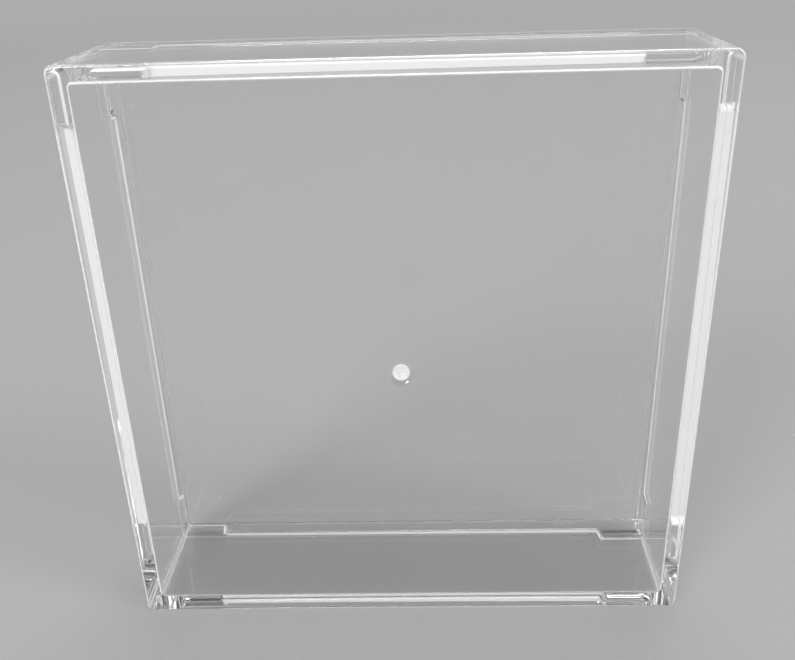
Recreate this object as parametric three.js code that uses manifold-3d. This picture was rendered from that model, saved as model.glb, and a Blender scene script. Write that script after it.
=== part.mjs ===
// Clear moulded box in two halves that close with interlocking corner tabs.
// Millimetres. The box stands on one narrow side: +X right, +Y away from the front panel, +Z up.
// The origin is on the standing surface, under the middle of the box.

import * as THREE from 'three';
import { ConvexGeometry } from 'three/addons/geometries/ConvexGeometry.js';
import { mergeVertices } from 'three/addons/utils/BufferGeometryUtils.js';
import Module from 'manifold-3d';

// Closed box
const boxWidth = 100;
const boxHeight = 100;
const boxDepth = 26.4;

// Walls, the same in both halves, and the two panels
const wallThickness = 2.5;
const frontPanelThickness = 1.8;
const backPanelThickness = 1;
const outerCornerRadius = 1.3;
const innerCornerRadius = 1;
const panelEdgeRadius = 0.5;

// Corner tabs: thin L-shaped plates, flush with the inside of the walls.
// Thickness, length along each wall from the outer corner, height along the depth,
// how far a tab's end leans in from its root to its tip,
// and the low step that the lid keeps between its panel and the tip of a tray tab
const tabThickness = 1.2;
const tabLength = 11;
const tabHeight = 3;
const tabLean = 0.4;
const tabSeat = 0.3;
const seamClearance = 0.3;

// Mark left by the mould's inlet, in the middle of the front panel
const gateDishDiameter = 4.9;
const gateDishDepth = 0.4;
const gateStubDiameter = 2.9;
const gateStubHeight = 0.3;

// Facets of the round stretches, and how far a cutting body runs past what it cuts
const cornerFacets = 6;
const edgeFacets = 3;
const gateFacets = 32;
const dishFacets = 6;
const cutOverrun = 2;

const plasticColour = 0xdde4e3;
const plasticRoughness = 0.06;
const plasticOpacity = 0.35;

// Places along the depth, measured from the front face.
// The tray's tabs reach back nearly to the lid's panel, and the lid's tabs go as far the other way.
const lidPanelFace = boxDepth - backPanelThickness;
const trayTabTip = lidPanelFace - tabSeat - seamClearance;
const trayRim = trayTabTip - tabHeight;
const lidRim = trayRim + seamClearance;
const lidTabTip = lidRim - tabHeight;
const beyondTray = trayTabTip + 2 * cutOverrun;
const beforeLid = lidTabTip - 2 * cutOverrun;

// The tray's tabs stand at two opposite corners and the lid's at the other two,
// as signs of X and Z seen from the middle of the box
const trayTabCorners = [[-1, -1], [1, 1]];
const lidTabCorners = [[-1, 1], [1, -1]];

const wasm = await Module();
wasm.setup();

function toSolid(geometry) {
  geometry.deleteAttribute('normal');
  geometry.deleteAttribute('uv');
  const welded = mergeVertices(geometry);
  return new wasm.Manifold(new wasm.Mesh({
    numProp: 3,
    vertProperties: Float32Array.from(welded.attributes.position.array),
    triVerts: Uint32Array.from(welded.index.array),
  }));
}

function toGeometry(solid) {
  const { vertProperties, triVerts } = solid.getMesh();
  const geometry = new THREE.BufferGeometry();
  geometry.setAttribute('position', new THREE.BufferAttribute(vertProperties, 3));
  geometry.setIndex(new THREE.BufferAttribute(triVerts, 1));
  geometry.computeVertexNormals();
  return geometry;
}

// A rectangle with round corners, across the box and up it, set in all round from the outside
function roundedRectangle(inset, radius) {
  const right = boxWidth / 2 - inset - radius;
  const top = boxHeight / 2 - inset - radius;
  const outline = new THREE.Shape();
  outline.absarc(right, top, radius, 0, Math.PI / 2);
  outline.absarc(-right, top, radius, Math.PI / 2, Math.PI);
  outline.absarc(-right, -top, radius, Math.PI, 1.5 * Math.PI);
  outline.absarc(right, -top, radius, 1.5 * Math.PI, 2 * Math.PI);
  return outline;
}

// An outline drawn out along the depth from near to far
function slab(outline, near, far, edgeRadius = 0) {
  const geometry = new THREE.ExtrudeGeometry(outline, {
    depth: far - near - 2 * edgeRadius,
    curveSegments: cornerFacets,
    bevelEnabled: edgeRadius > 0,
    bevelThickness: edgeRadius,
    bevelSize: edgeRadius,
    bevelOffset: -edgeRadius,
    bevelSegments: edgeFacets,
  });
  geometry.rotateX(Math.PI / 2);
  geometry.translate(0, far - edgeRadius, 0);
  return toSolid(geometry);
}

// The walls' outside and inside, the outside of a tab, and a notch that takes the tab
const outerOutline = roundedRectangle(0, outerCornerRadius);
const innerOutline = roundedRectangle(wallThickness, innerCornerRadius);
const tabOutline = roundedRectangle(wallThickness - tabThickness, innerCornerRadius + tabThickness);
const notchOutline = roundedRectangle(
  wallThickness - tabThickness - seamClearance, innerCornerRadius + tabThickness + seamClearance);
const clearOutline = roundedRectangle(-cutOverrun, outerCornerRadius);

// A block over one corner of the box. Its two inner faces stand the tab's length and the clearance
// from the outer corner at the root, and lean in towards the tip.
function cornerBlock([signX, signZ], root, direction, clearance) {
  const points = [];
  for (const along of [-cutOverrun, tabHeight]) {
    const length = tabLength + clearance - tabLean * along / tabHeight;
    for (const fromCorner of [-cutOverrun, length]) {
      for (const upFromCorner of [-cutOverrun, length]) {
        points.push(new THREE.Vector3(
          signX * (boxWidth / 2 - fromCorner),
          root + direction * along,
          signZ * (boxHeight / 2 - upFromCorner)));
      }
    }
  }
  return toSolid(new ConvexGeometry(points));
}

// What an outline leaves over two corners, from the root to the tips; the cavity later opens its inside
function cornerPlates(outline, corners, root, direction, clearance) {
  const blocks = corners.map((corner) => cornerBlock(corner, root, direction, clearance));
  return slab(outline, beforeLid, beyondTray).intersect(wasm.Manifold.union(blocks));
}

// The shallow dish round the gate mark, turned about the depth
function gateDish() {
  const rim = gateDishDiameter / 2;
  const sphere = (rim * rim + gateDishDepth * gateDishDepth) / (2 * gateDishDepth);
  const halfAngle = Math.asin(rim / sphere);
  const profile = [];
  for (let step = 0; step <= dishFacets; step += 1) {
    const angle = halfAngle * (1 - step / dishFacets);
    profile.push(new THREE.Vector2(
      sphere * Math.sin(angle), gateDishDepth - sphere * (1 - Math.cos(angle))));
  }
  profile.unshift(new THREE.Vector2(0, -cutOverrun), new THREE.Vector2(rim, -cutOverrun));
  return toSolid(new THREE.LatheGeometry(profile, gateFacets));
}

function gateStub() {
  const radius = gateStubDiameter / 2;
  const root = (gateDishDepth + frontPanelThickness) / 2;
  const tip = gateDishDepth - gateStubHeight;
  const geometry = new THREE.CylinderGeometry(radius, radius, root - tip, gateFacets);
  geometry.translate(0, (root + tip) / 2, 0);
  return toSolid(geometry);
}

// Deep front half: closed panel, four walls, tabs at two corners and notches at the others
function traySolid() {
  return slab(outerOutline, 0, trayRim + cutOverrun, panelEdgeRadius)
    .subtract(slab(clearOutline, trayRim, beyondTray))
    .add(cornerPlates(tabOutline, trayTabCorners, trayRim, 1, 0))
    .subtract(cornerPlates(notchOutline, lidTabCorners, trayRim, -1, seamClearance))
    .subtract(slab(innerOutline, frontPanelThickness, beyondTray))
    .subtract(gateDish())
    .add(gateStub());
}

// Shallow back half, with its tabs where the tray has notches
function lidSolid() {
  return slab(outerOutline, lidRim - cutOverrun, boxDepth, panelEdgeRadius)
    .subtract(slab(clearOutline, beforeLid, lidRim))
    .add(cornerPlates(tabOutline, lidTabCorners, lidRim, -1, 0))
    .subtract(cornerPlates(notchOutline, trayTabCorners, lidRim, 1, seamClearance))
    .subtract(slab(innerOutline, beforeLid, lidPanelFace));
}

function clearPlastic() {
  return new THREE.MeshStandardMaterial({
    color: plasticColour,
    roughness: plasticRoughness,
    metalness: 0,
    transparent: true,
    opacity: plasticOpacity,
  });
}

function piece(name, solid) {
  const mesh = new THREE.Mesh(toGeometry(solid), clearPlastic());
  mesh.name = name;
  return mesh;
}

const clearBox = new THREE.Group();
clearBox.add(piece('tray', traySolid()));
clearBox.add(piece('lid', lidSolid()));
clearBox.position.set(0, -boxDepth / 2, boxHeight / 2);
clearBox.updateMatrixWorld(true);

export default clearBox;
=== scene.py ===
import math

import bmesh
import bpy
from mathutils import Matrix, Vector


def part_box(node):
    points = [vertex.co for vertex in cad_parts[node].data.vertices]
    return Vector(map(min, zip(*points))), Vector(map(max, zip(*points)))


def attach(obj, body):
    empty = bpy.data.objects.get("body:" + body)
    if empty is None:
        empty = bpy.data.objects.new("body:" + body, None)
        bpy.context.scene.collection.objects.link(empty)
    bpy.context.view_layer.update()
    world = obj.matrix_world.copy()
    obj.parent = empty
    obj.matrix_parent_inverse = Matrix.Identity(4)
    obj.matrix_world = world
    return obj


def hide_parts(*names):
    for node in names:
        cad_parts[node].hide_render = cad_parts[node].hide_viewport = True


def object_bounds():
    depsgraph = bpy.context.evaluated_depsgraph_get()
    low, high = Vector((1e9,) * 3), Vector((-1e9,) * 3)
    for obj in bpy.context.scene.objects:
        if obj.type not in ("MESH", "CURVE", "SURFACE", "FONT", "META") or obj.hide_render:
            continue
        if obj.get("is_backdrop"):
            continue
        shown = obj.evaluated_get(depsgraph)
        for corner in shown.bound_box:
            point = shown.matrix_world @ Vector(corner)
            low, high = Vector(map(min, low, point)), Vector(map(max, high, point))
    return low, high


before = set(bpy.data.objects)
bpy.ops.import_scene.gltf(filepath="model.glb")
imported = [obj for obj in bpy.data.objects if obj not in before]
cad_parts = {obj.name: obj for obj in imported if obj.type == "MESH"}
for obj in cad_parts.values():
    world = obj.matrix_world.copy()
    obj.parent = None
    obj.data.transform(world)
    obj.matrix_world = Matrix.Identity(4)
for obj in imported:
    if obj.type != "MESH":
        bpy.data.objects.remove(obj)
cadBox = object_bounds()

scene = bpy.context.scene
scene.view_settings.view_transform = "Standard"
mm = 0.001


# camera at the photo's viewing angle, close and looking down on the front panel
photoView = {
    "place": (0.00576, -0.14895, 0.11785),
    "turn": (63.436, 1.53, 1.124),  # degrees about X, Y and Z
    "lens": 41.527,  # mm
    "sensor": 36,  # mm wide
    "clipStart": 0.005,  # m
    "shift": (-0.0145, 0.0545),
}


def makeCamera():
    data = bpy.data.cameras.new("photoCamera")
    data.sensor_width = photoView["sensor"]
    data.lens = photoView["lens"]
    data.shift_x, data.shift_y = photoView["shift"]
    data.clip_start = photoView["clipStart"]
    camera = bpy.data.objects.new("photoCamera", data)
    camera.location = photoView["place"]
    camera.rotation_euler = [math.radians(angle) for angle in photoView["turn"]]
    scene.collection.objects.link(camera)
    scene.camera = camera


# measures that both halves share, in mm
boxShape = {
    "wall": 2.5,
    "outerCorner": 1.3,
    "innerCorner": 1.0,
    "tab": 1.2,  # thickness of a tab, flush with the inside of the wall
    "tabLength": 11.0,  # along a wall from the outer corner
    "tabHeight": 3.0,
    "tabLean": 0.4,
    "clearance": 0.3,
    "stepRound": 0.6,  # of the tabs' shoulders and roots
    "tipRound": 0.15,  # round along the tab's tip, on its outer side
    "sliver": 0.02,  # lean of the tab's outer side
    "wearHighlightReach": 0.27,  # how far the rim's wear and painted highlight run down the inner wall; with the rim's edge, less than stepRound
    "cornerSteps": 10,
    "roundSteps": 5,
    "tipSteps": 3,
    "crease": 0.8,  # radians, above which an edge stays sharp
}

sideWidth = (cadBox[1].x - cadBox[0].x) / mm
frontFace = cadBox[0].y / mm
backFace = cadBox[1].y / mm
boxMiddle = Vector((0, sideWidth / 2))  # across and up

# corners in turn: lower left, lower right, upper right, upper left
cornerSigns = ((-1, -1), (1, -1), (1, 1), (-1, 1))


def quarterTurn(steps):
    return [math.pi / 2 * step / steps for step in range(steps + 1)]


# replaces each inner corner of a path by an arc that touches both legs
def roundPath(points, radius, steps):
    path = [Vector(points[0])]
    for before, corner, after in zip(points, points[1:], points[2:]):
        corner = Vector(corner)
        back = (Vector(before) - corner).normalized()
        ahead = (Vector(after) - corner).normalized()
        half = back.angle(ahead) / 2
        reach = radius / math.tan(half)
        centre = corner + (back + ahead).normalized() * radius / math.sin(half)
        start = corner + back * reach - centre
        end = corner + ahead * reach - centre
        sweep = start.angle(end)
        for step in range(steps + 1):
            share = step / steps
            arm = start * math.sin((1 - share) * sweep) + end * math.sin(share * sweep)
            path.append(centre + arm / math.sin(sweep))
    path.append(Vector(points[-1]))
    return path


# one side of the box: its first corner, the way along it and the way in
def sideFrame(side):
    corner = boxMiddle + Vector(cornerSigns[side]) * sideWidth / 2
    following = boxMiddle + Vector(cornerSigns[(side + 1) % 4]) * sideWidth / 2
    along = (following - corner).normalized()
    return corner, along, Vector((-along.y, along.x))


# the round corner of a square that is set in from the outside, as (across, up) points
def cornerArc(side, inset, radius):
    corner, along, inward = sideFrame(side)
    centre = corner + (along + inward) * (inset + radius)
    arc = []
    for angle in quarterTurn(boxShape["cornerSteps"]):
        arc.append(centre - radius * (along * math.cos(angle) + inward * math.sin(angle)))
    return arc


# the whole rounded square; between the corners each side may hold some evenly spaced points
def squareLoop(inset, radius, between=0):
    loop = []
    reach = inset + radius
    for side in range(4):
        corner, along, inward = sideFrame(side)
        loop.extend(cornerArc(side, inset, radius))
        for step in range(1, between + 1):
            run = reach + (sideWidth - 2 * reach) * step / (between + 1)
            loop.append(corner + along * run + inward * inset)
    return loop


# the steps of one side's rim, as a list of (run along the side and level, the path's own normal, nearer
# corner), where a level is how far the rim stands from that half's panel face
def rimPath(side, levels, middleLevel):
    following = (side + 1) % 4
    ends = []
    for level in (levels[side], levels[following]):
        mouth = boxShape["tabLength"] + (boxShape["clearance"] if level < middleLevel else 0)
        ends.append((mouth - boxShape["tabLean"], mouth))
    (nearEnd, nearMouth), (farEnd, farMouth) = ends
    points = [
        (boxShape["wall"] + boxShape["innerCorner"], levels[side]),
        (nearEnd, levels[side]),
        (nearMouth, middleLevel),
        (sideWidth - farMouth, middleLevel),
        (sideWidth - farEnd, levels[following]),
        (sideWidth - boxShape["wall"] - boxShape["innerCorner"], levels[following]),
    ]
    path = roundPath(points, boxShape["stepRound"], boxShape["roundSteps"])
    stations = []
    for index, point in enumerate(path[1:-1], 1):
        lead = path[index + 1] - path[index - 1]
        nearer = side if point.x < sideWidth / 2 else following
        stations.append((point, Vector((-lead.y, lead.x)).normalized(), nearer))
    return stations


# the rim's section at one place, from outside to inside: rows of (inset, corner radius, drop below the
# rim, whether the row follows the steps); the outer part of the wall ends straight all round
def rimSection(edge, cornerLevel, middleLevel, rise):
    wall = boxShape["wall"]
    lap = wall - boxShape["tab"]
    if cornerLevel < middleLevel:
        lap -= boxShape["clearance"]
    tip = boxShape["tipRound"]
    lift = min(max(rise / tip, 0), 1)
    rows = []
    for angle in quarterTurn(boxShape["roundSteps"]):
        inset = edge * (1 - math.cos(angle))
        rows.append((inset, boxShape["outerCorner"] - inset, edge * (1 - math.sin(angle)), False))
    stepped = [(lap, 0, False)]
    for angle in quarterTurn(boxShape["tipSteps"]):
        inset = lap + boxShape["sliver"] + tip * (1 - math.cos(angle))
        stepped.append((inset, lift * tip * (1 - math.sin(angle)), True))
    for angle in reversed(quarterTurn(boxShape["roundSteps"])):
        stepped.append((wall - edge * (1 - math.cos(angle)), edge * (1 - math.sin(angle)), True))
    stepped.append((wall, edge + boxShape["wearHighlightReach"], True))
    for inset, drop, follows in stepped:
        rows.append((inset, boxShape["innerCorner"] + wall - inset, drop, follows))
    return rows


# how dull and white the edges and the rim's faces are, from 0 to 1: partly dull wear, partly a painted
# highlight that stands in for the bright lines light draws along them
edgeWearAndHighlight = {
    "inside": 1.0,
    "rimEdge": 1.0,  # the rim's inner edge
    "rimInner": 0.95,  # the rim's face beside the tabs, fading towards tips and notch floors; kept nearly white so that the front frames show a painted highlight
    "rimOuter": 0.3,  # its outer part
    "step": 1.0,  # the ends of tabs and notches
    "corner": 0.5,  # along the depth, where two inner walls meet
}


# a half of the box as a mesh: panel, walls and stepped rim, all in one skin
def halfShell(name, shape):
    shell = bmesh.new()
    wearAndHighlightLayer = shell.verts.layers.float.new("edgeWearAndHighlight")
    sign = shape["facing"]

    def place(flat, level, wearAndHighlight=0):
        point = shell.verts.new((flat.x * mm, (shape["panelFace"] + sign * level) * mm, flat.y * mm))
        point[wearAndHighlightLayer] = wearAndHighlight
        return point

    def bridge(first, second):
        for index in range(len(first)):
            following = (index + 1) % len(first)
            shell.faces.new((first[index], first[following], second[following], second[index]))

    # the rim's dullness and whiteness at one row: partly wear, partly painted highlight
    def rimWearAndHighlight(inset, drop, follows, rise, lean):
        if drop == 0:
            fade = min(abs(rise) / boxShape["tabHeight"], 1) if inset > shape["rimEdge"] else 0
            face = edgeWearAndHighlight["rimInner" if follows else "rimOuter"] * (1 - fade)
            return shape["wearAndHighlight"] * (edgeWearAndHighlight["step"] + (face - edgeWearAndHighlight["step"]) * lean.y ** 2)
        rolled = drop <= shape["rimEdge"] and inset > boxShape["wall"] - boxShape["tab"] / 2
        return shape["wearAndHighlight"] * edgeWearAndHighlight["rimEdge"] if rolled else 0

    # whiteness of the rolled outer edge by side: a painted highlight set per side, partly wear
    def panelEdgeWearAndHighlight(point):
        height = point.y - boxMiddle.y
        if abs(point.x) > abs(height):
            return shape["panelEdgeWearAndHighlight"]["upright"]
        return shape["panelEdgeWearAndHighlight"]["top" if height > 0 else "bottom"]

    # panel's outer edge, rolled over to the wall
    outerRoll = []
    for angle in quarterTurn(boxShape["roundSteps"]):
        inset = shape["panelEdge"] * (1 - math.sin(angle))
        level = shape["panelEdge"] * (1 - math.cos(angle))
        loop = squareLoop(inset, boxShape["outerCorner"] - inset, shape["panelPoints"])
        fade = math.sin(2 * angle) ** 3
        # where set, the painted highlight runs on over the wall side of the roll
        if angle > math.pi / 4:
            fade = max(fade, shape["wallPaintedHighlight"])
        outerRoll.append([place(point, level, fade * panelEdgeWearAndHighlight(point)) for point in loop])

    # fillet between the inner wall and the panel
    innerRoll = []
    for angle in quarterTurn(boxShape["roundSteps"]):
        inset = shape["innerFillet"] * (1 - math.sin(angle))
        level = shape["panel"] + shape["innerFillet"] * (1 - math.cos(angle))
        loop = squareLoop(boxShape["wall"] + inset, boxShape["innerCorner"] - inset)
        # painted highlight along the fillet, strongest mid-roll, partly wear
        wearAndHighlight = shape["wearAndHighlight"] * edgeWearAndHighlight["inside"] * math.sin(2 * angle) ** 3
        innerRoll.append([place(point, level, wearAndHighlight) for point in loop])

    # rim: each corner's arcs at their levels, then the stepped run of the side
    arcPoints = boxShape["cornerSteps"] + 1
    middle = shape["rim"]
    upright = Vector((0, 1))
    rim = [[] for row in rimSection(shape["rimEdge"], middle, middle, 0)]
    sideStarts = []
    for side in range(4):
        corner, along, inward = sideFrame(side)
        sideStarts.append(len(rim[0]))
        cornerLevel = shape["levels"][side]
        rows = rimSection(shape["rimEdge"], cornerLevel, middle, cornerLevel - middle)
        for loop, (inset, radius, drop, follows) in zip(rim, rows):
            level = (cornerLevel if follows else middle) - drop
            wearAndHighlight = rimWearAndHighlight(inset, drop, follows, cornerLevel - middle, upright)
            loop.extend(place(flat, level, wearAndHighlight) for flat in cornerArc(side, inset, radius))
        for point, lean, nearer in rimPath(side, shape["levels"], middle):
            rows = rimSection(shape["rimEdge"], shape["levels"][nearer], middle, point.y - middle)
            for loop, (inset, radius, drop, follows) in zip(rim, rows):
                run = point - lean * drop if follows else Vector((point.x, middle - drop))
                flat = corner + along * run.x + inward * inset
                wearAndHighlight = rimWearAndHighlight(inset, drop, follows, point.y - middle, lean if follows else upright)
                loop.append(place(flat, run.y, wearAndHighlight))

    # inner corners, from the fillet to the rim, whitened along the depth: partly wear, partly painted
    # highlight
    filletStarts = [arcPoints * side for side in range(4)]
    for loop, starts in ((innerRoll[-1], filletStarts), (rim[-1], sideStarts)):
        for start in starts:
            for index, angle in enumerate(quarterTurn(boxShape["cornerSteps"]), start):
                loop[index][wearAndHighlightLayer] = shape["wearAndHighlight"] * edgeWearAndHighlight["corner"] * math.sin(2 * angle) ** 3

    for loops in (outerRoll, rim, innerRoll):
        for first, second in zip(loops, loops[1:]):
            bridge(first, second)

    # walls: a strip of quads round each corner, one flat face on each side
    panelRun = arcPoints + shape["panelPoints"]
    wallEnds = ((outerRoll[-1], panelRun, rim[0]), (innerRoll[-1], arcPoints, rim[-1]))
    for panelLoop, step, rimLoop in wallEnds:
        for side in range(4):
            low = [panelLoop[(side * step + index) % len(panelLoop)] for index in range(step + 1)]
            start = sideStarts[side]
            end = sideStarts[(side + 1) % 4] or len(rimLoop)
            high = [rimLoop[index % len(rimLoop)] for index in range(start, end + 1)]
            last = arcPoints - 1
            for index in range(last):
                shell.faces.new((low[index], low[index + 1], high[index + 1], high[index]))
            shell.faces.new(low[last:] + high[last:][::-1])

    shell.faces.new(innerRoll[0])
    if shape["gate"]:
        gateMark(shell, outerRoll[0], place, bridge)
    else:
        shell.faces.new(outerRoll[0])

    bmesh.ops.recalc_face_normals(shell, faces=shell.faces)
    for face in shell.faces:
        face.smooth = True
    for edge in shell.edges:
        edge.smooth = edge.calc_face_angle() < boxShape["crease"]
    mesh = bpy.data.meshes.new(name)
    shell.to_mesh(mesh)
    shell.free()
    piece = bpy.data.objects.new(name, mesh)
    scene.collection.objects.link(piece)
    evenNormals = piece.modifiers.new("evenNormals", "WEIGHTED_NORMAL")
    evenNormals.mode = "FACE_AREA"
    evenNormals.weight = 100
    evenNormals.keep_sharp = True
    return piece


# round mark left by the mould's inlet: a shallow dish with a broken-off stub in it, in mm
gateShape = {
    "dish": 2.45,  # radius
    "depth": 0.4,
    "stub": 1.45,  # radius
    "stubTop": 0.1,  # below the panel's face
    "stubRound": 0.12,
    "dishSteps": 10,
    "topSteps": 5,
    "hollow": 0.15,  # how far the broken top sinks in
    "roughTop": 0.03,  # its unevenness
}


def gateMark(shell, panelLoop, place, bridge):
    count = len(panelLoop)
    first = panelLoop[0].co
    startAngle = math.atan2(first.z / mm - boxMiddle.y, first.x / mm)

    def ring(radius, level, unevenness=0):
        verts = []
        for index in range(count):
            angle = startAngle + 2 * math.pi * index / count
            swell = math.sin(3 * angle + radius * 5) + 0.6 * math.sin(7 * angle - radius * 9)
            flat = boxMiddle + Vector((math.cos(angle), math.sin(angle))) * radius
            verts.append(place(flat, level + unevenness * swell))
        return verts

    rings = [panelLoop]
    for step in range(gateShape["dishSteps"] + 1):
        share = step / gateShape["dishSteps"]
        radius = gateShape["dish"] + (gateShape["stub"] - gateShape["dish"]) * share
        rings.append(ring(radius, gateShape["depth"] * (1 - math.cos(math.pi * share)) / 2))
    for angle in quarterTurn(boxShape["roundSteps"]):
        radius = gateShape["stub"] - gateShape["stubRound"] * (1 - math.cos(angle))
        rings.append(ring(radius, gateShape["stubTop"] + gateShape["stubRound"] * (1 - math.sin(angle))))
    stubStart = gateShape["dishSteps"] + 1
    flatTop = gateShape["stub"] - gateShape["stubRound"]
    for step in range(1, gateShape["topSteps"]):
        share = step / gateShape["topSteps"]
        level = gateShape["stubTop"] + gateShape["hollow"] * (1 - (1 - share) ** 4)
        rings.append(ring(flatTop * (1 - share), level, gateShape["roughTop"] * share))
    for index, (outer, inner) in enumerate(zip(rings, rings[1:])):
        known = set(shell.faces)
        bridge(outer, inner)
        if index >= stubStart:
            for face in set(shell.faces) - known:
                face.material_index = 1
    cap = shell.faces.new(rings[-1])
    cap.material_index = 1


def addNode(tree, kind, **settings):
    node = tree.nodes.new(kind)
    for name, value in settings.items():
        setattr(node, name, value)
    return node


def newMaterial(name):
    material = bpy.data.materials.new(name)
    material.use_nodes = True
    tree = material.node_tree
    return material, tree, tree.nodes["Principled BSDF"]


# polished clear plastic with what handling leaves on it, and edges turned cloudy white as partly wear,
# partly painted highlight
plasticFinish = {
    "clear": (0.995, 0.998, 0.997, 1),
    "faint": (0.97, 0.98, 0.978, 1),  # where the melt ran thicker
    "refraction": 1.49,
    "polish": 0.0,  # roughness of an untouched face
    "smudge": 0.02,
    "smudgeScale": 45,
    "smudgeRange": (0.5, 0.75),  # of the noise
    "scratch": 0.15,
    "scratchLean": 0.3,  # radians
    "scratchScale": (700, 200, 40),
    "scratchCore": (0.04, 0.09),  # in a cell, where a scratch starts to fade and where it ends
    "waveSize": 16,  # waves of the moulded face, per metre
    "waveHeight": 0.000006,
    "wornRough": 0.2,  # on edges and on the rim's faces
    "wornAndHighlightCloud": 0.95,  # how much of their clearness they lose, turning white: partly wear, partly painted highlight
    "through": (0.98, 0.98, 0.98, 1),  # light that one face lets through
    "grazing": (0.75, 0.75, 0.75, 1),
    "grazeBlend": 0.5,
}


def clearPlastic():
    material, tree, shader = newMaterial("clearPlastic")
    link = tree.links.new
    coords = addNode(tree, "ShaderNodeTexCoord")

    # smudges from handling, which also tint the plastic a little
    touch = addNode(tree, "ShaderNodeTexNoise")
    touch.inputs["Scale"].default_value = plasticFinish["smudgeScale"]
    touch.inputs["Detail"].default_value = 2
    smudge = addNode(tree, "ShaderNodeMapRange")
    smudge.inputs["From Min"].default_value = plasticFinish["smudgeRange"][0]
    smudge.inputs["From Max"].default_value = plasticFinish["smudgeRange"][1]
    smudge.inputs["To Min"].default_value = plasticFinish["polish"]
    smudge.inputs["To Max"].default_value = plasticFinish["smudge"]
    tint = addNode(tree, "ShaderNodeValToRGB")
    tint.color_ramp.elements[0].color = plasticFinish["faint"]
    tint.color_ramp.elements[1].color = plasticFinish["clear"]
    link(coords.outputs["Object"], touch.inputs["Vector"])
    link(touch.outputs["Fac"], smudge.inputs["Value"])
    link(touch.outputs["Fac"], tint.inputs["Fac"])
    link(tint.outputs["Color"], shader.inputs["Base Color"])

    # hairline scratches: the cores of long thin cells
    lay = addNode(tree, "ShaderNodeMapping")
    lay.inputs["Rotation"].default_value = (0, plasticFinish["scratchLean"], 0)
    lay.inputs["Scale"].default_value = plasticFinish["scratchScale"]
    cells = addNode(tree, "ShaderNodeTexVoronoi", feature="F1")
    cells.inputs["Scale"].default_value = 1
    line = addNode(tree, "ShaderNodeMapRange")
    line.inputs["From Min"].default_value = plasticFinish["scratchCore"][0]
    line.inputs["From Max"].default_value = plasticFinish["scratchCore"][1]
    line.inputs["To Min"].default_value = plasticFinish["scratch"]
    line.inputs["To Max"].default_value = 0
    rough = addNode(tree, "ShaderNodeMath", operation="ADD")
    link(coords.outputs["Object"], lay.inputs["Vector"])
    link(lay.outputs["Vector"], cells.inputs["Vector"])
    link(cells.outputs["Distance"], line.inputs["Value"])
    link(line.outputs["Result"], rough.inputs[0])
    link(smudge.outputs["Result"], rough.inputs[1])

    # worn edges and the dull faces of the rim, rough and cloudy white: partly wear, partly painted
    # highlight
    wearAndHighlight = addNode(tree, "ShaderNodeAttribute", attribute_name="edgeWearAndHighlight")
    wornRough = addNode(tree, "ShaderNodeMath", operation="MULTIPLY_ADD")
    wornRough.inputs[1].default_value = plasticFinish["wornRough"]
    clearness = addNode(tree, "ShaderNodeMapRange")
    clearness.inputs["To Min"].default_value = 1
    clearness.inputs["To Max"].default_value = 1 - plasticFinish["wornAndHighlightCloud"]
    link(wearAndHighlight.outputs["Fac"], wornRough.inputs[0])
    link(rough.outputs[0], wornRough.inputs[2])
    link(wornRough.outputs[0], shader.inputs["Roughness"])
    link(wearAndHighlight.outputs["Fac"], clearness.inputs["Value"])
    link(clearness.outputs["Result"], shader.inputs["Transmission Weight"])

    # slow waves of the moulded face
    wave = addNode(tree, "ShaderNodeTexNoise")
    wave.inputs["Scale"].default_value = plasticFinish["waveSize"]
    wave.inputs["Detail"].default_value = 0
    waveBump = addNode(tree, "ShaderNodeBump")
    waveBump.inputs["Distance"].default_value = plasticFinish["waveHeight"]
    link(coords.outputs["Object"], wave.inputs["Vector"])
    link(wave.outputs["Fac"], waveBump.inputs["Height"])
    link(waveBump.outputs["Normal"], shader.inputs["Normal"])

    shader.inputs["IOR"].default_value = plasticFinish["refraction"]

    # lamp light and light from the floor pass straight through the walls, weaker where they graze them
    path = addNode(tree, "ShaderNodeLightPath")
    passes = addNode(tree, "ShaderNodeMath", operation="MAXIMUM")
    graze = addNode(tree, "ShaderNodeLayerWeight")
    graze.inputs["Blend"].default_value = plasticFinish["grazeBlend"]
    dim = addNode(tree, "ShaderNodeValToRGB")
    dim.color_ramp.elements[0].color = plasticFinish["through"]
    dim.color_ramp.elements[1].color = plasticFinish["grazing"]
    straight = addNode(tree, "ShaderNodeBsdfTransparent")
    blend = addNode(tree, "ShaderNodeMixShader")
    link(path.outputs["Is Shadow Ray"], passes.inputs[0])
    link(path.outputs["Is Diffuse Ray"], passes.inputs[1])
    link(graze.outputs["Facing"], dim.inputs["Fac"])
    link(dim.outputs["Color"], straight.inputs["Color"])
    link(passes.outputs[0], blend.inputs[0])
    link(shader.outputs["BSDF"], blend.inputs[1])
    link(straight.outputs["BSDF"], blend.inputs[2])
    link(blend.outputs["Shader"], tree.nodes["Material Output"].inputs["Surface"])
    return material


# the stub's broken top is white and dull
scarFinish = {
    "pale": (0.8, 0.8, 0.79, 1),
    "shade": (0.66, 0.67, 0.67, 1),
    "toneRange": (0.35, 0.6),  # of the grain
    "grain": 2500,
    "grainHeight": 0.00002,
    "roughness": 0.45,
}


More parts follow.
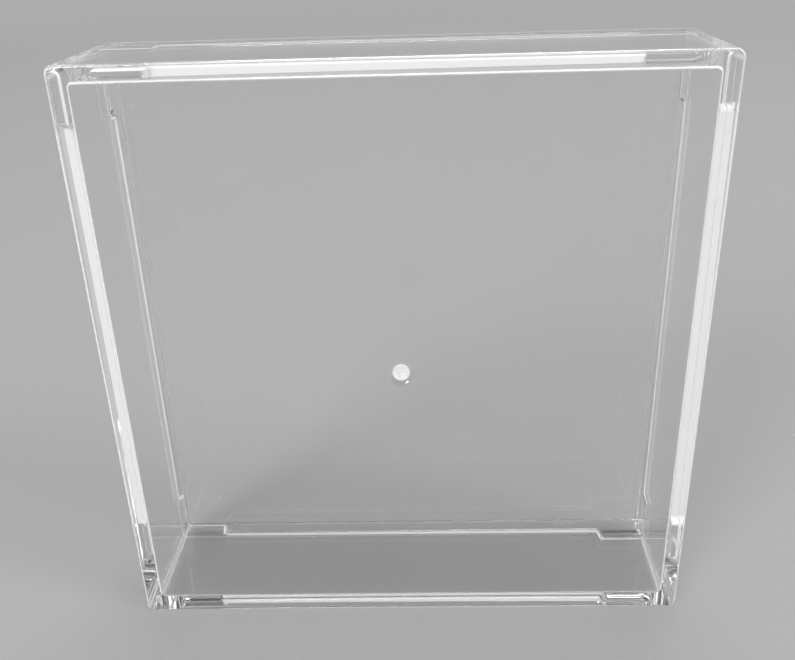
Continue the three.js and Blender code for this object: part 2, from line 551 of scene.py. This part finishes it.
def frostedScar():
    material, tree, shader = newMaterial("frostedScar")
    link = tree.links.new
    coords = addNode(tree, "ShaderNodeTexCoord")
    grain = addNode(tree, "ShaderNodeTexNoise")
    grain.inputs["Scale"].default_value = scarFinish["grain"]
    grain.inputs["Detail"].default_value = 3
    tone = addNode(tree, "ShaderNodeValToRGB")
    tone.color_ramp.elements[0].position = scarFinish["toneRange"][0]
    tone.color_ramp.elements[0].color = scarFinish["shade"]
    tone.color_ramp.elements[1].position = scarFinish["toneRange"][1]
    tone.color_ramp.elements[1].color = scarFinish["pale"]
    bump = addNode(tree, "ShaderNodeBump")
    bump.inputs["Distance"].default_value = scarFinish["grainHeight"]
    link(coords.outputs["Object"], grain.inputs["Vector"])
    link(grain.outputs["Fac"], tone.inputs["Fac"])
    link(tone.outputs["Color"], shader.inputs["Base Color"])
    link(grain.outputs["Fac"], bump.inputs["Height"])
    link(bump.outputs["Normal"], shader.inputs["Normal"])
    shader.inputs["Roughness"].default_value = scarFinish["roughness"]
    shader.inputs["IOR"].default_value = plasticFinish["refraction"]
    return material


# deep front half, with tabs at the lower left and upper right; levels count from the front face
trayTip = (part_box("tray")[1].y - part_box("tray")[0].y) / mm
trayRim = trayTip - boxShape["tabHeight"]
trayNotch = trayRim - boxShape["tabHeight"]
trayShape = {
    "panelFace": frontFace,
    "facing": 1,
    "panel": 1.8,
    "panelEdge": 0.5,
    "rim": trayRim,
    "levels": (trayTip, trayNotch, trayTip, trayNotch),
    "rimEdge": 0.3,
    "innerFillet": 0.5,
    "wearAndHighlight": 1.0,
    "panelEdgeWearAndHighlight": {"upright": 0.8, "top": 0.3, "bottom": 0.3},  # painted highlight: the upright edges are whiter than the top and bottom ones, standing in for the brighter lines that light draws on the sides; partly wear
    "wallPaintedHighlight": 0.0,
    "panelPoints": 9,
    "gate": True,
}

# shallow back half, stepped the other way; levels count from the back face
lidTip = (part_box("lid")[1].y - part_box("lid")[0].y) / mm
lidRim = lidTip - boxShape["tabHeight"]
lidNotch = lidRim - boxShape["tabHeight"]
lidShape = {
    "panelFace": backFace,
    "facing": -1,
    "panel": 1.0,
    "panelEdge": 0.5,
    "rim": lidRim,
    "levels": (lidNotch, lidTip, lidNotch, lidTip),
    "rimEdge": 0.1,
    "innerFillet": 0.04,
    "wearAndHighlight": 0.05,
    # painted highlight: the top edge is whitened to cover a dark line that light draws along it, partly
    # wear
    "panelEdgeWearAndHighlight": {"upright": 0.05, "top": 0.6, "bottom": 0.02},
    "wallPaintedHighlight": 0.7,  # share of this painted highlight that runs on over the low wall, painting over a dark line that light draws along the top edge
    "panelPoints": 0,
    "gate": False,
}


def dressHalf(node, shape, finishes):
    piece = halfShell(node + "Shell", shape)
    for finish in finishes:
        piece.data.materials.append(finish)
    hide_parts(node)
    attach(piece, node)
    print(f"{node}: {len(piece.data.vertices)} points, {len(piece.data.polygons)} faces")


# plain pale floor that runs into an even backdrop, under a darker sky with soft lamps
studio = {
    "floorSize": 6.0,
    "floorGap": 0.00008,  # air under the standing side
    "floorColour": (0.37, 0.37, 0.367, 1),
    "floorRoughness": 0.9,
    "floorShine": 0.2,
    "backdrop": (0.42, 0.42, 0.417, 1),
    "fadeStart": 0.5,  # m from the box, where the floor starts to turn into the backdrop
    "fadeEnd": 1.5,
    "paleBand": 0.3,  # how high the backdrop reaches, as a share of the sky's height
    "darkFrom": 0.42,
    "above": (0.12, 0.12, 0.125, 1),
    "overhead": (0.05, 0.05, 0.055, 1),
}

# each soft lamp: place, point that it faces, width, height and power
softLamps = {
    "keyLamp": ((-1.3, -1.9, 1.5), (0, 0, 0.05), 0.9, 1.2, 64),
    "fillLamp": ((1.9, -0.8, 1.4), (0, 0, 0.05), 0.8, 1.2, 34),
    "backLamp": ((0.2, 1.5, 2.1), (0, 0, 0.05), 1.6, 0.7, 32),
}


def makeFloor():
    half = studio["floorSize"] / 2
    corners = ((-half, -half), (half, -half), (half, half), (-half, half))
    sheet = bmesh.new()
    sheet.faces.new([sheet.verts.new((across, along, 0)) for across, along in corners])
    mesh = bpy.data.meshes.new("floor")
    sheet.to_mesh(mesh)
    sheet.free()
    floor = bpy.data.objects.new("floor", mesh)
    floor.location.z = -studio["floorGap"]
    scene.collection.objects.link(floor)
    material, tree, shader = newMaterial("paleFloor")
    shader.inputs["Base Color"].default_value = studio["floorColour"]
    shader.inputs["Roughness"].default_value = studio["floorRoughness"]
    shader.inputs["Specular IOR Level"].default_value = studio["floorShine"]
    coords = addNode(tree, "ShaderNodeTexCoord")
    away = addNode(tree, "ShaderNodeVectorMath", operation="LENGTH")
    fade = addNode(tree, "ShaderNodeMapRange", interpolation_type="SMOOTHSTEP")
    fade.inputs["From Min"].default_value = studio["fadeStart"]
    fade.inputs["From Max"].default_value = studio["fadeEnd"]
    backdrop = addNode(tree, "ShaderNodeEmission")
    backdrop.inputs["Color"].default_value = studio["backdrop"]
    blend = addNode(tree, "ShaderNodeMixShader")
    tree.links.new(coords.outputs["Object"], away.inputs[0])
    tree.links.new(away.outputs["Value"], fade.inputs["Value"])
    tree.links.new(fade.outputs["Result"], blend.inputs[0])
    tree.links.new(shader.outputs["BSDF"], blend.inputs[1])
    tree.links.new(backdrop.outputs["Emission"], blend.inputs[2])
    tree.links.new(blend.outputs["Shader"], tree.nodes["Material Output"].inputs["Surface"])
    mesh.materials.append(material)
    floor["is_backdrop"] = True


def makeSky():
    world = bpy.data.worlds.new("studioSky")
    world.use_nodes = True
    scene.world = world
    tree = world.node_tree
    background = tree.nodes["Background"]
    coords = addNode(tree, "ShaderNodeTexCoord")
    axes = addNode(tree, "ShaderNodeSeparateXYZ")
    shade = addNode(tree, "ShaderNodeValToRGB")
    ramp = shade.color_ramp
    ramp.elements[0].color = studio["backdrop"]
    ramp.elements[1].color = studio["overhead"]
    ramp.elements.new(studio["paleBand"]).color = studio["backdrop"]
    ramp.elements.new(studio["darkFrom"]).color = studio["above"]
    seen = addNode(tree, "ShaderNodeLightPath")
    pick = addNode(tree, "ShaderNodeMixRGB")
    pick.inputs["Color2"].default_value = studio["backdrop"]
    tree.links.new(coords.outputs["Generated"], axes.inputs["Vector"])
    tree.links.new(axes.outputs["Z"], shade.inputs["Fac"])
    tree.links.new(seen.outputs["Is Camera Ray"], pick.inputs["Fac"])
    tree.links.new(shade.outputs["Color"], pick.inputs["Color1"])
    tree.links.new(pick.outputs["Color"], background.inputs["Color"])


def makeLamps():
    for name, (place, aim, width, height, power) in softLamps.items():
        data = bpy.data.lights.new(name, "AREA")
        data.shape = "RECTANGLE"
        data.size = width
        data.size_y = height
        data.energy = power
        lamp = bpy.data.objects.new(name, data)
        lamp.location = place
        lamp.rotation_euler = (Vector(aim) - Vector(place)).to_track_quat("-Z", "Y").to_euler()
        scene.collection.objects.link(lamp)


# enough for light that runs along inside a thin panel
lightBounces = 96


def setBounces():
    scene.cycles.max_bounces = lightBounces
    scene.cycles.transmission_bounces = lightBounces
    scene.cycles.glossy_bounces = lightBounces
    scene.cycles.blur_glossy = 0  # keeps the light that falls through the walls


makeCamera()
print("camera set")
plastic = clearPlastic()
scar = frostedScar()
dressHalf("tray", trayShape, (plastic, scar))
dressHalf("lid", lidShape, (plastic,))
makeFloor()
makeSky()
makeLamps()
setBounces()
print("studio set")

boxes = {"cad": cadBox, "visual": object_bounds()}
{name: [list(corner) for corner in box] for name, box in boxes.items()}
